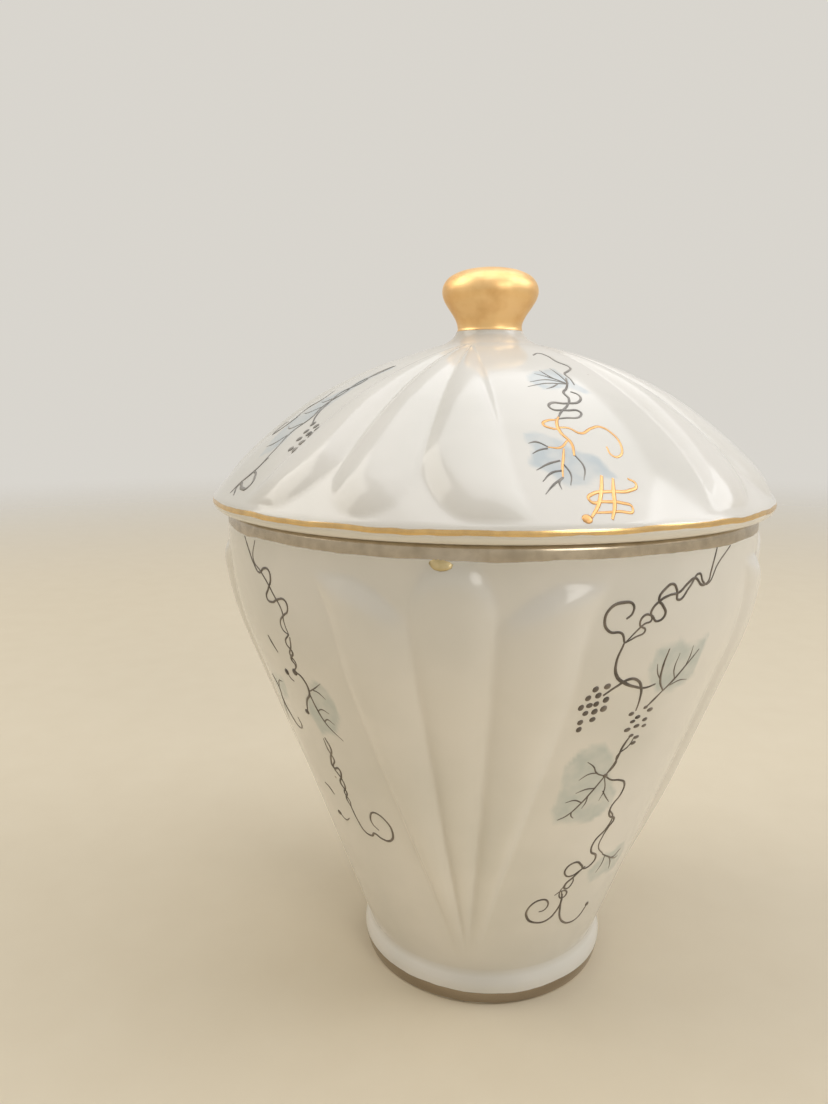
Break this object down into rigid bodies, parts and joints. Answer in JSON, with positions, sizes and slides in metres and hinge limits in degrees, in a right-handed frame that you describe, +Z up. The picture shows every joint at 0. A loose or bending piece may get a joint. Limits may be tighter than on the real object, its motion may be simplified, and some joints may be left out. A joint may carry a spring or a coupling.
{
  "type": "lidded sugar bowl",
  "caption": "Tapering fluted porcelain sugar bowl on a low round foot, with a domed lift-off lid, a gilt mushroom knob and painted vine panels",
  "frame": {"origin": "centre of the foot, on the table", "axes": "+Z up along the axis of the bowl; -Y faces the front group of flutes; +X to the right seen from the front"},
  "size_m": [0.1, 0.1, 0.13],
  "materials": {
    "porcelain": "clear glossy glaze on white slip-cast porcelain, with gilt lines and painted vines",
    "gilding": "burnished bright gold over the glaze"
  },
  "bodies": {
    "bowl": {"bowl": "porcelain"},
    "lid": {"lid": "porcelain", "lid_knob": "gilding"}
  },
  "joints": [
    {"name": "lid_lift", "type": "slide", "parent": "bowl", "child": "lid", "axis": [0, 0, 1], "range_m": [0, 0.07]}
  ]
}
